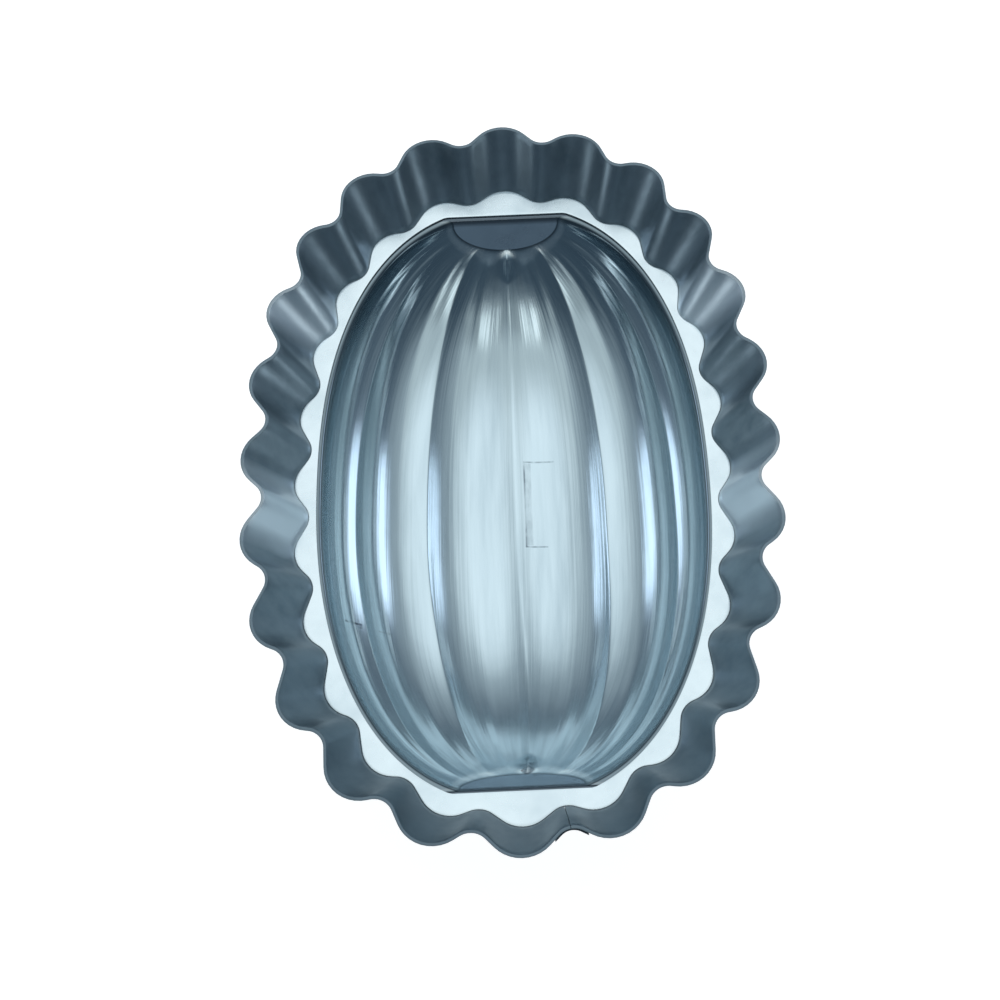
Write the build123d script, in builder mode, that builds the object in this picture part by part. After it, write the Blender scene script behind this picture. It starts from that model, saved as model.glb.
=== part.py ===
from build123d import *
from math import asin, atan2, copysign, cos, degrees, hypot, pi, sin, tau
import os

# A jelly mold in the shape of half a melon with a fluted rim, soldered up from bright sheet metal.
# It stands on the melon's belly with its open side up. X runs across it, Y along it, Z up.
# The origin is under the middle of the mold, at the height of the lowest point of the belly.

# Sheet, solder and fits
sheet = 0.6
fit_gap = 0.05
solder_leg = 0.3

# Fluted wall: the rim's oval on which the tips of the flutes are laid out, and the wall's flare from
# the ledge up to the rim. The straight lines between the tips make the mold itself a little smaller.
rim_half_length = 95.7
rim_half_width = 62.4
rim_roundness = 2.33
wall_height = 13.2
wall_flare = 9.85
skirt_drop = 1.4

# Flutes: outward lobes and inward notches in turn, a lobe at each end of the mold
flute_count = 24
rim_flute_depth = 5.2
ledge_flute_depth = 3.6
lobe_radius = 8.0
notch_radius = 4.2
fold_limit = 0.97

# Seam where the two ends of the wall strip meet, in the first notch to the right of the front end
seam_notch = 11
seam_slit = 0.15
strap_width = 7.0
strap_below_rim = 1.6

# Opening of the melon in the ledge plate, measured inward from the tips of the flutes at the ledge
ledge_at_ends = 5.5
ledge_at_sides = 5.5
opening_roundness = 2.275
end_cut = 2.9
shoulder_radius = 1.3
flange_lap = 0.7

# Melon bowl, depths measured from the top of the ledge to the ridges inside
ridge_depth = 29.0
end_depth = 7.1
end_inset = 5.7
belly_fullness = 3.0
lobe_count = 6
lobe_bulge = 0.075
lobe_end_length = 4.0
shelf_length = 3.0
shelf_catch_up = 7.0
end_spread = 0.4
spread_start = 0.8
shelf_hold = 0.85
section_count = 25

# End plates
end_margin = 1.5
end_lip = 2.4

# Wall: horizontal thickness of the leaning sheet, and the size of the fluted outline at its foot
wall_skin = sheet / cos(atan2(wall_flare, wall_height))
foot_half_length = rim_half_length - wall_flare
foot_half_width = rim_half_width - wall_flare

# Opening: the oval, and where its straight ends cut it off
opening_half_length = foot_half_length - wall_skin - ledge_at_ends
opening_half_width = foot_half_width - wall_skin - ledge_at_sides
opening_end = opening_half_length - end_cut

# End plates lean outward at the top; their bend starts a little inside the opening's straight end
end_lean = atan2(end_inset, end_depth)
bend_share = (1 - sin(end_lean)) / cos(end_lean)
end_top = opening_end - bend_share * shoulder_radius
under_ledge_depth = ridge_depth - sheet
under_ledge_end_depth = end_depth - sheet


def ease(value):
    """A value held between 0 and 1 and made to start and stop softly."""
    held = min(1, max(0, value))
    return held * held * (3 - 2 * held)


def oval_point(half_length, half_width, roundness, turn):
    """Point of an oval at a turn from its +Y end; a roundness of 2 is an ellipse."""
    across = copysign(abs(sin(turn)) ** (2 / roundness), sin(turn))
    along = copysign(abs(cos(turn)) ** (2 / roundness), cos(turn))
    return half_width * across, half_length * along


def even_points(half_length, half_width, count, start):
    """Points at equal steps round the rim's oval, the first one start steps past the +Y end."""
    pieces = 100 * count
    curve = [oval_point(half_length, half_width, rim_roundness, tau * i / pieces) for i in range(pieces + 1)]
    travelled = [0.0]
    for here, there in zip(curve, curve[1:]):
        travelled.append(travelled[-1] + hypot(there[0] - here[0], there[1] - here[1]))
    points = []
    i = 0
    for step in range(count):
        target = travelled[-1] * (step + start) / count
        while travelled[i + 1] < target:
            i += 1
        share = (target - travelled[i]) / (travelled[i + 1] - travelled[i])
        x = curve[i][0] + share * (curve[i + 1][0] - curve[i][0])
        y = curve[i][1] + share * (curve[i + 1][1] - curve[i][1])
        points.append((x, y))
    return points, travelled[-1]


def flute_folds(half_length, half_width, depth):
    """Radii of the lobe and notch folds, and how far a fold's corner stands past its round."""
    _, girth = even_points(half_length - depth / 2, half_width - depth / 2, flute_count, 0)
    half_pitch = girth / flute_count / 2
    room = (half_pitch**2 + depth**2) / (2 * depth)
    both = min(lobe_radius + notch_radius, fold_limit * room)
    lobe = both * lobe_radius / (lobe_radius + notch_radius)
    slope = asin(both / hypot(half_pitch, both - depth)) - atan2(both - depth, half_pitch)
    return lobe, both - lobe, 1 / cos(slope) - 1


def flute_corners(half_length, half_width, depth, grow):
    """Corners and radii of lobes and notches in turn, with the whole outline moved outward by grow."""
    lobe, notch, overshoot = flute_folds(half_length, half_width, depth)
    lobe_out = grow + (lobe + grow) * overshoot
    notch_out = grow - depth - (notch - grow) * overshoot
    lobes, _ = even_points(half_length + lobe_out, half_width + lobe_out, flute_count, 0)
    notches, _ = even_points(half_length + notch_out, half_width + notch_out, flute_count, 0.5)
    corners = []
    for lobe_corner, notch_corner in zip(lobes, notches):
        corners.extend([lobe_corner, notch_corner])
    return corners, [lobe + grow, notch - grow] * flute_count


def flute_face(level, half_length, half_width, depth, grow):
    """The area inside the fluted outline at a level: straight flanks between round folds."""
    corners, radii = flute_corners(half_length, half_width, depth, grow)
    with BuildSketch(Plane.XY.offset(level)) as shape:
        with BuildLine():
            FilletPolyline(*corners, radius=radii, close=True)
        make_face()
    return shape.sketch


def foot_face(level, grow):
    """The fluted outline at the foot of the wall, where the ledge lies."""
    return flute_face(level, foot_half_length, foot_half_width, ledge_flute_depth, grow)


def opening_half_width_at(y, grow):
    """Half the width of the melon's opening at a place along it, moved outward by grow."""
    share = abs(y) / (opening_half_length + grow)
    return (opening_half_width + grow) * (1 - share**opening_roundness) ** (1 / opening_roundness)


def opening_face(level, grow, end):
    """The area of the melon's opening: two long round sides and two short straight ends."""
    across = opening_half_width_at(end, grow) / (opening_half_width + grow)
    along = end / (opening_half_length + grow)
    first_turn = atan2(across ** (opening_roundness / 2), along ** (opening_roundness / 2))
    steps = 16
    turns = [first_turn + (pi - 2 * first_turn) * i / steps for i in range(steps + 1)]
    half_length = opening_half_length + grow
    half_width = opening_half_width + grow
    side = [oval_point(half_length, half_width, opening_roundness, turn) for turn in turns]
    other_side = [(-x, y) for x, y in side]
    with BuildSketch(Plane.XY.offset(level)) as shape:
        with BuildLine():
            Spline(*side)
            Line(side[-1], other_side[-1])
            Spline(*other_side)
            Line(other_side[0], side[0])
        make_face()
    return shape.sketch


def depth_at(share, held_up):
    """Depth of the belly under the ledge plate; the part held up stays as shallow as the ends."""
    swell = (1 - abs(share) ** belly_fullness) * (1 - held_up)
    return under_ledge_end_depth + (under_ledge_depth - under_ledge_end_depth) * swell


def section_lean(share):
    """Lean of a cross-section, upright in the middle and as the end plates at the ends."""
    return atan2(share * under_ledge_end_depth * end_inset / end_depth, depth_at(share, 0))


def section_plane(share, level):
    """Plane of a cross-section of the melon."""
    lean = section_lean(share)
    origin = (0, end_top * share, level)
    return Plane(origin=origin, x_dir=(1, 0, 0), z_dir=(0, -cos(lean), sin(lean)))


def hanging_point(half_width, depth, turn, out):
    """Point of the melon's half ellipse at a turn from straight down, moved out square to it."""
    across = sin(turn) / half_width
    down = cos(turn) / depth
    size = hypot(across, down)
    x = half_width * sin(turn) + out * across / size
    return x, -shoulder_radius - depth * cos(turn) - out * down / size


def ridge_turns(share):
    """Turns of the ridges from straight down; near the ends the inner lobes widen to fill the end plate."""
    widen = 1 + end_spread * ease((abs(share) - spread_start) / (1 - spread_start))
    ridge_count = lobe_count + 1
    turns = [(i - lobe_count / 2) * pi / lobe_count * widen for i in range(ridge_count)]
    turns[0] = -pi / 2
    turns[-1] = pi / 2
    return turns


def bowl_section(share, level, grow):
    """Cross-section of the melon: lobes as arcs between the ridges, and a round shoulder each side.

    Close to the ends the ridges keep to a flat shelf, so that each lobe ends in a round hollow.
    """
    plane = section_plane(share, level)
    half_width = opening_half_width_at(end_top * share, -shoulder_radius)
    from_end = end_top * (1 - abs(share))
    shelf = shelf_hold * (1 - ease((from_end - shelf_length) / shelf_catch_up))
    relief = ease(from_end / lobe_end_length)
    depth = depth_at(share, 0) / cos(section_lean(share)) - shoulder_radius
    ridge = depth_at(share, shelf) / cos(section_lean(share)) - shoulder_radius
    turns = ridge_turns(share)
    bend = shoulder_radius - grow
    brink = half_width + shoulder_radius
    bend_x = brink - bend * cos(pi / 4)
    bend_y = bend * sin(pi / 4) - shoulder_radius
    foot_x = half_width + grow
    with BuildSketch(plane) as shape:
        with BuildLine():
            for turn, next_turn in zip(turns, turns[1:]):
                first = hanging_point(half_width, ridge, turn, grow)
                last = hanging_point(half_width, ridge, next_turn, grow)
                bulge = relief * lobe_bulge * hypot(last[0] - first[0], last[1] - first[1])
                middle = hanging_point(half_width, depth, (turn + next_turn) / 2, grow + bulge)
                ThreePointArc(first, middle, last)
            ThreePointArc((foot_x, -shoulder_radius), (bend_x, bend_y), (brink, -grow))
            if grow > 0:
                Line((brink, -grow), (brink, 0))
            Line((brink, 0), (-brink, 0))
            if grow > 0:
                Line((-brink, 0), (-brink, -grow))
            ThreePointArc((-brink, -grow), (-bend_x, bend_y), (-foot_x, -shoulder_radius))
        make_face()
    return shape.sketch


def bowl_body(level, grow):
    """The melon's solid form, moved outward by grow, as a smooth loft through its sections."""
    shares = [sin(pi * i / (section_count - 1) - pi / 2) for i in range(section_count)]
    with BuildPart() as body:
        loft(sections=[bowl_section(share, level, grow) for share in shares])
    return body.part


# Levels, from the lowest point of the belly up
shoulder_level = -bowl_section(0, 0, sheet).bounding_box().min.Z
ledge_level = shoulder_level + sheet
rim_level = ledge_level + wall_height
skirt_level = ledge_level - skirt_drop


def flared_body(grow):
    """Everything inside the wall's outer skin, moved outward by grow, with the skirt below it."""
    foot = foot_face(ledge_level, grow)
    rim = flute_face(rim_level, rim_half_length, rim_half_width, rim_flute_depth, grow)
    with BuildPart() as body:
        loft(sections=[foot, rim], ruled=True)
        extrude(to_extrude=foot, amount=-skirt_drop)
    return body.part


os.makedirs("parts", exist_ok=True)


def finish_piece(piece, name):
    """Label a finished piece and write it to its own file."""
    piece.part.label = name
    export_step(piece.part, f"parts/{name}.step")


# The wall's skins, and the upright plane in which the seam runs down the fold of a notch
wall_outside = flared_body(0)
wall_inside = flared_body(-wall_skin)
rim_corners, _ = flute_corners(rim_half_length, rim_half_width, rim_flute_depth, 0)
foot_corners, _ = flute_corners(foot_half_length, foot_half_width, ledge_flute_depth, 0)
seam_x, seam_y = foot_corners[2 * seam_notch + 1]
seam_run = (rim_corners[2 * seam_notch + 1][0] - seam_x, rim_corners[2 * seam_notch + 1][1] - seam_y)
seam_plane = Plane(origin=(seam_x, seam_y, skirt_level), x_dir=(*seam_run, 0), z_dir=(0, 0, 1))
seam_reach = 2 * (wall_flare + rim_flute_depth)
seam_height = rim_level - skirt_level

# Fluted wall: one strip, folded into flutes and bent round until its two ends meet
with BuildPart() as fluted_wall:
    add(wall_outside)
    add(wall_inside, mode=Mode.SUBTRACT)
    with BuildSketch(seam_plane):
        Rectangle(seam_reach, seam_slit)
    extrude(amount=seam_height, mode=Mode.SUBTRACT)
finish_piece(fluted_wall, "fluted_wall")

# Seam strap: a strip of the same sheet soldered over the joint on the outside, up to just under the rim
strap_outside = flared_body(wall_skin)
with BuildPart() as seam_strap:
    with BuildSketch(seam_plane):
        Rectangle(seam_reach, strap_width)
    extrude(amount=seam_height - strap_below_rim)
    add(strap_outside, mode=Mode.INTERSECT)
    add(wall_outside, mode=Mode.SUBTRACT)
finish_piece(seam_strap, "seam_strap")

# Ledge plate: the flat scalloped ring that drops inside the foot of the wall
with BuildPart() as ledge_plate:
    extrude(to_extrude=foot_face(shoulder_level, -wall_skin - fit_gap), amount=sheet)
    extrude(to_extrude=opening_face(shoulder_level, 0, opening_end), amount=sheet, mode=Mode.SUBTRACT)
finish_piece(ledge_plate, "ledge_plate")

# Solder run in the corner under the ledge plate, all round the foot of the wall
bead_foot = foot_face(shoulder_level - solder_leg, -wall_skin)
bead_inside_low = foot_face(shoulder_level - solder_leg, -wall_skin - solder_leg / 3)
bead_inside_high = foot_face(shoulder_level, -wall_skin - solder_leg)
with BuildPart() as wall_solder:
    extrude(to_extrude=bead_foot, amount=solder_leg)
    loft(sections=[bead_inside_low, bead_inside_high], ruled=True, mode=Mode.SUBTRACT)
finish_piece(wall_solder, "wall_solder")

# Melon bowl: six lobes between ridges, with a rounded shoulder and a narrow flange under the ledge
back_plane = section_plane(1, shoulder_level)
front_plane = section_plane(-1, shoulder_level)
bowl_outside = bowl_body(shoulder_level, sheet)
bowl_inside = bowl_body(shoulder_level, 0)
with BuildPart() as melon_bowl:
    extrude(to_extrude=opening_face(shoulder_level - sheet, flange_lap, opening_end), amount=sheet)
    split(bisect_by=back_plane, keep=Keep.TOP)
    split(bisect_by=front_plane, keep=Keep.BOTTOM)
    add(bowl_outside)
    add(bowl_inside, mode=Mode.SUBTRACT)
finish_piece(melon_bowl, "melon_bowl")

# Solder runs along the outer edge of the bowl's flange, one on each side
for side, name, keep in ((1, "right", Keep.TOP), (-1, "left", Keep.BOTTOM)):
    with BuildPart() as bowl_solder:
        extrude(
            to_extrude=opening_face(shoulder_level - solder_leg, flange_lap + solder_leg, opening_end),
            amount=solder_leg,
        )
        extrude(
            to_extrude=opening_face(shoulder_level - solder_leg, flange_lap, opening_end),
            amount=solder_leg,
            mode=Mode.SUBTRACT,
        )
        split(bisect_by=back_plane, keep=Keep.TOP)
        split(bisect_by=front_plane, keep=Keep.BOTTOM)
        split(bisect_by=Plane.YZ, keep=keep)
    finish_piece(bowl_solder, f"bowl_solder_{name}")

# End plates: leaning half moons that close the bowl, each with a lip bent out under the ledge
end_half_width = opening_half_width_at(end_top, -shoulder_radius) + end_margin
end_reach = under_ledge_end_depth / cos(end_lean) - shoulder_radius + end_margin
corner = Vector(end_top, shoulder_level)
down = Vector(-sin(end_lean), -cos(end_lean))
outward = Vector(cos(end_lean), -sin(end_lean))
bend_inside = Vector(end_top + bend_share * sheet, shoulder_level - sheet)
bent_points = [
    Vector(end_top + end_lip, shoulder_level),
    corner,
    corner + down * (end_reach + end_margin),
    corner + down * (end_reach + end_margin) + outward * sheet,
    bend_inside,
    Vector(end_top + end_lip, shoulder_level - sheet),
]
with BuildPart() as half_moon:
    with BuildSketch(back_plane):
        with Locations((0, -shoulder_radius)):
            Ellipse(end_half_width, end_reach)
            Rectangle(2 * end_half_width, end_reach, align=(Align.CENTER, Align.MIN))
    extrude(amount=end_reach, both=True)
with BuildPart() as end_plate:
    with BuildSketch(Plane.YZ):
        with BuildLine():
            FilletPolyline(
                *bent_points, radius=[0, shoulder_radius, 0, 0, shoulder_radius - sheet, 0], close=True
            )
        make_face()
    extrude(amount=end_half_width, both=True)
    add(half_moon, mode=Mode.INTERSECT)
with BuildPart() as end_bead:
    with BuildSketch(back_plane):
        with Locations((0, -shoulder_radius)):
            Ellipse(end_half_width, end_reach)
    extrude(amount=2 * solder_leg)
    add(bowl_outside, mode=Mode.SUBTRACT)
    split(bisect_by=Plane.XY.offset(shoulder_level - sheet), keep=Keep.BOTTOM)
for name, flip in (("back", False), ("front", True)):
    with BuildPart() as end_plate_piece:
        add(mirror(end_plate.part, about=Plane.XZ, mode=Mode.PRIVATE) if flip else end_plate.part)
    finish_piece(end_plate_piece, f"end_plate_{name}")
    with BuildPart() as end_solder:
        add(mirror(end_bead.part, about=Plane.XZ, mode=Mode.PRIVATE) if flip else end_bead.part)
    finish_piece(end_solder, f"end_solder_{name}")
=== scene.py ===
import logging
from dataclasses import dataclass, field
from enum import Enum
from math import asin, atan2, copysign, cos, hypot, pi, radians, sin, sqrt, tan, tau
from typing import Callable, ClassVar

import bpy
from bpy.types import Material, Node, NodeSocket, NodeTree, Object, ShaderNodeTree
from mathutils import Matrix, Vector


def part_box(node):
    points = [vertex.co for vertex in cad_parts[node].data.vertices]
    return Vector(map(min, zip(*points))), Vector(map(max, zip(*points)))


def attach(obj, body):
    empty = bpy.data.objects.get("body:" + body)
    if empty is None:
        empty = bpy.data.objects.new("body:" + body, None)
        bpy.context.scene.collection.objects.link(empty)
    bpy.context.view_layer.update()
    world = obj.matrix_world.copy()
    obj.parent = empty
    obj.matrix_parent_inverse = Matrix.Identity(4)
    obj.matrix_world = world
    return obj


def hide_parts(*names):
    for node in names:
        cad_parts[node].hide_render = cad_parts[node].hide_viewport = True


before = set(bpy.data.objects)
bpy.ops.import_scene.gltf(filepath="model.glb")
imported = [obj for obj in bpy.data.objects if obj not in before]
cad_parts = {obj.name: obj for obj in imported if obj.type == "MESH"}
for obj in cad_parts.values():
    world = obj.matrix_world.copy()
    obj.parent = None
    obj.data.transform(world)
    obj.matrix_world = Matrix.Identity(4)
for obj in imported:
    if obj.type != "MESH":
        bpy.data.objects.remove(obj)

log = logging.getLogger("jelly_mold")

Point = tuple[float, float]
Place = tuple[float, float, float]
Colour = tuple[float, float, float]

MM = 0.001
WELD_REACH = 0.001
CREASE_ANGLE = 60.0
HAZE_WEIGHT = 0.6
WIDE_WEIGHT = 0.7
GRAIN_STRENGTH = 0.5
DENT_STRENGTH = 0.35


def mm(value: float) -> float:
    """Turn millimetres into Blender's metres."""
    return value * MM


def smooth(value: float) -> float:
    """Ease a value from 0 to 1, flat at both ends."""
    held = max(0.0, min(1.0, value))
    return held * held * (3 - 2 * held)


class Shop:
    """The few hand tools that every piece is made with."""

    @staticmethod
    def put_down() -> None:
        """Leave edit mode and deselect everything."""
        if bpy.context.object and bpy.context.object.mode != "OBJECT":
            bpy.ops.object.mode_set(mode="OBJECT")
        bpy.ops.object.select_all(action="DESELECT")

    @staticmethod
    def pick_up(piece: Object) -> None:
        """Select one piece and make it the active one.

        Args:
            piece: The piece.
        """
        Shop.put_down()
        piece.select_set(True)
        bpy.context.view_layer.objects.active = piece

    @staticmethod
    def edit(piece: Object) -> None:
        """Open a piece in edit mode with all of it selected.

        Args:
            piece: The piece.
        """
        Shop.pick_up(piece)
        bpy.ops.object.mode_set(mode="EDIT")
        bpy.ops.mesh.select_all(action="SELECT")

    @staticmethod
    def sheet(name: str, columns: int, rows: int, form: Callable[[float, float], Place]) -> Object:
        """Cut a flat sheet and press it to a form.

        Args:
            name: Name of the piece.
            columns: Faces across the sheet.
            rows: Faces along the sheet.
            form: Place in millimetres of the point at (across, along), each from 0 to 1.

        Returns:
            The pressed sheet, without thickness.
        """
        Shop.put_down()
        bpy.ops.mesh.primitive_grid_add(x_subdivisions=columns, y_subdivisions=rows, size=2)
        piece = bpy.context.object
        piece.name = name
        piece.data.name = name
        for vertex in piece.data.vertices:
            across = round((vertex.co.x + 1) / 2 * columns) / columns
            along = round((vertex.co.y + 1) / 2 * rows) / rows
            vertex.co = Vector(form(across, along)) * MM
        return piece

    @staticmethod
    def use(piece: Object, kind: str, **settings: object) -> None:
        """Put a modifier on a piece, set it and apply it.

        Args:
            piece: The piece.
            kind: The modifier's type.
            settings: The modifier's properties.
        """
        Shop.pick_up(piece)
        modifier = piece.modifiers.new(kind.title(), kind)
        for setting, value in settings.items():
            setattr(modifier, setting, value)
        bpy.ops.object.modifier_apply(modifier=modifier.name)

    @staticmethod
    def thicken(piece: Object, thickness: float) -> None:
        """Give a sheet its thickness in millimetres, behind its faces."""
        Shop.use(piece, "SOLIDIFY", thickness=mm(thickness), offset=-1.0, use_even_offset=True)

    @staticmethod
    def round_edges(piece: Object, width: float) -> None:
        """Round the sharp edges of a piece by a width in millimetres."""
        limit = radians(CREASE_ANGLE)
        Shop.use(piece, "BEVEL", width=mm(width), segments=2, limit_method="ANGLE", angle_limit=limit)

    @staticmethod
    def face_up(piece: Object) -> None:
        """Turn the faces of a sheet so that most of them look up.

        Args:
            piece: The sheet.
        """
        lift = sum(face.normal.z * face.area for face in piece.data.polygons)
        if lift <= 0:
            Shop.edit(piece)
            bpy.ops.mesh.flip_normals()
            Shop.put_down()

    @staticmethod
    def face_outward(piece: Object) -> None:
        """Turn the faces of a closed piece to its outside.

        Args:
            piece: The piece.
        """
        Shop.edit(piece)
        bpy.ops.mesh.normals_make_consistent(inside=False)
        Shop.put_down()

    @staticmethod
    def close_ends(piece: Object) -> None:
        """Cap the open ends of a piece.

        Args:
            piece: The piece.
        """
        Shop.edit(piece)
        bpy.ops.mesh.select_all(action="DESELECT")
        bpy.ops.mesh.select_mode(type="EDGE")
        bpy.ops.mesh.select_non_manifold(
            use_wire=False, use_multi_face=False, use_non_contiguous=False, use_verts=False
        )
        bpy.ops.mesh.edge_face_add()
        Shop.put_down()

    @staticmethod
    def weld(piece: Object) -> None:
        """Join vertices that lie together, as at a ring's two ends.

        Args:
            piece: The piece.
        """
        Shop.edit(piece)
        bpy.ops.mesh.remove_doubles(threshold=mm(WELD_REACH))
        Shop.put_down()

    @staticmethod
    def smooth_faces(piece: Object, angle: float) -> None:
        """Shade a piece smooth, but keep edges sharper than the angle in degrees."""
        Shop.pick_up(piece)
        bpy.ops.object.shade_smooth_by_angle(angle=radians(angle))


@dataclass(frozen=True)
class MoldSizes:
    """The mold's sizes in millimetres, with its levels taken from the CAD parts."""

    sheet: float = 0.6
    fit_gap: float = 0.05
    rim_half_length: float = 95.7
    rim_half_width: float = 62.4
    rim_roundness: float = 2.33
    wall_height: float = 13.2
    wall_flare: float = 9.85
    skirt_drop: float = 1.4
    flute_count: int = 24
    rim_flute_depth: float = 5.2
    ledge_flute_depth: float = 3.6
    lobe_radius: float = 8.0
    notch_radius: float = 4.2
    fold_limit: float = 0.97
    seam_notch: int = 11
    ledge_at_ends: float = 5.5
    ledge_at_sides: float = 5.5
    opening_roundness: float = 2.275
    end_cut: float = 2.9
    shoulder_radius: float = 1.3
    flange_lap: float = 0.7
    ridge_depth: float = 29.0
    end_depth: float = 7.1
    end_inset: float = 5.7
    belly_fullness: float = 3.0
    lobe_count: int = 6
    lobe_bulge: float = 0.075
    end_margin: float = 1.5
    end_lip: float = 2.4
    ledge_level: float = field(default_factory=lambda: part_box("ledge_plate")[1].z / MM)
    rim_level: float = field(default_factory=lambda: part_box("fluted_wall")[1].z / MM)

    @property
    def shoulder_level(self) -> float:
        """Height of the ledge plate's underside, where the bowl's flange lies."""
        return self.ledge_level - self.sheet

    @property
    def wall_skin(self) -> float:
        """Thickness of the leaning wall, measured level."""
        return self.sheet * hypot(self.wall_flare, self.wall_height) / self.wall_height

    @property
    def foot_half_length(self) -> float:
        """Half length of the wall's foot over the flutes."""
        return self.rim_half_length - self.wall_flare

    @property
    def foot_half_width(self) -> float:
        """Half width of the wall's foot over the flutes."""
        return self.rim_half_width - self.wall_flare

    @property
    def opening_half_length(self) -> float:
        """Half length of the opening's oval."""
        return self.foot_half_length - self.wall_skin - self.ledge_at_ends

    @property
    def opening_half_width(self) -> float:
        """Half width of the opening's oval."""
        return self.foot_half_width - self.wall_skin - self.ledge_at_sides

    @property
    def opening_end(self) -> float:
        """Distance from the middle to the opening's straight ends."""
        return self.opening_half_length - self.end_cut

    @property
    def end_lean(self) -> float:
        """Lean of the end plates from upright, in radians."""
        return atan2(self.end_inset, self.end_depth)

    @property
    def bend_share(self) -> float:
        """Length of an end plate's bend on each side of its corner, for a radius of 1."""
        return (1 - sin(self.end_lean)) / cos(self.end_lean)

    @property
    def end_top(self) -> float:
        """Distance from the middle to the end plates' upper corner."""
        return self.opening_end - self.bend_share * self.shoulder_radius

    def half_width_at(self, along: float, grow: float) -> float:
        """Half width of the opening's oval at a place along it.

        Args:
            along: Distance from the middle.
            grow: How far the oval is moved outward.

        Returns:
            The half width in millimetres.
        """
        share = abs(along) / (self.opening_half_length + grow)
        roundness = self.opening_roundness
        return (self.opening_half_width + grow) * (1 - share**roundness) ** (1 / roundness)


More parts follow.
